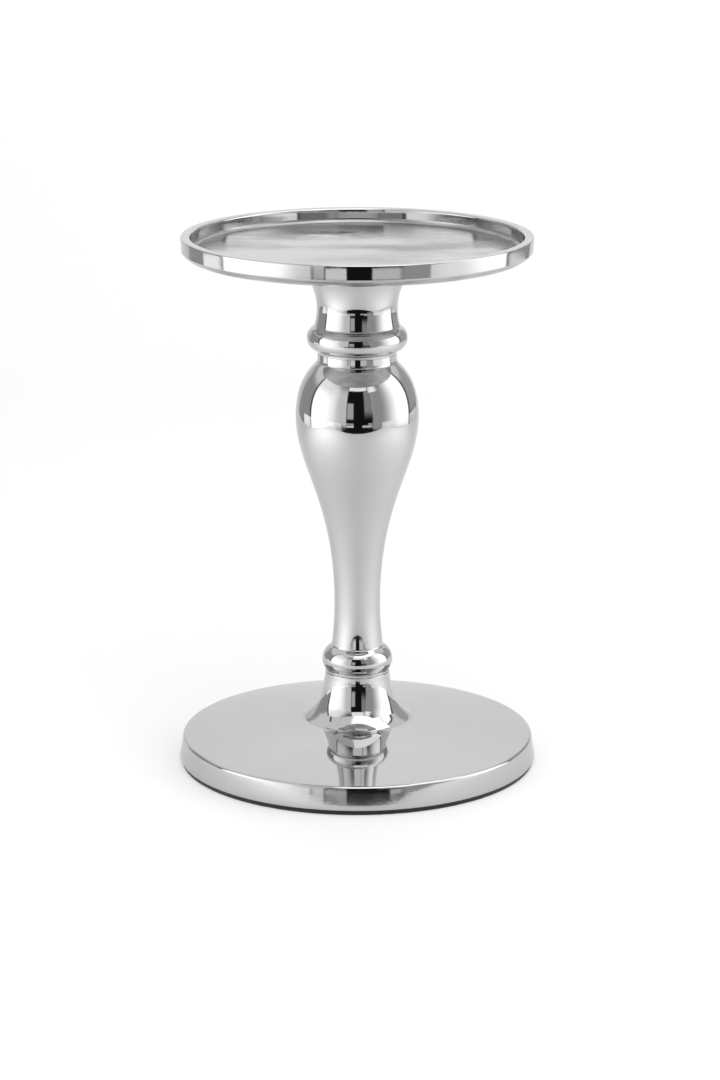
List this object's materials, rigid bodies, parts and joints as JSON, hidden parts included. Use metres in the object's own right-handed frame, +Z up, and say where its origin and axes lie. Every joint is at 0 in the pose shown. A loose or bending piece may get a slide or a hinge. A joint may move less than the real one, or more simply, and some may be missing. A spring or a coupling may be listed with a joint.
{
  "type": "pillar candlestick",
  "caption": "Polished cast metal candlestick: shallow round candle tray on a turned baluster stem with rings, on a wide round base.",
  "frame": {"origin": "middle of the base, on the surface that the candlestick stands on", "axes": "+Z up the stem towards the candle tray; round about Z, so +X and +Y are arbitrary"},
  "size_m": [0.1562, 0.1562, 0.2327],
  "materials": {
    "polished_cast": "cast aluminium, nickel plated and mirror polished",
    "zinc_steel": "bright zinc plated steel",
    "black_felt": "matt pressed felt"
  },
  "bodies": {
    "root": {"candle_tray": "polished_cast", "upper_collar": "polished_cast", "baluster": "polished_cast", "foot_bell": "polished_cast", "base_plate": "polished_cast", "tie_rod": "zinc_steel", "base_washer": "zinc_steel", "spring_washer": "zinc_steel", "base_nut": "zinc_steel", "felt_pad": "black_felt"}
  },
  "joints": []
}
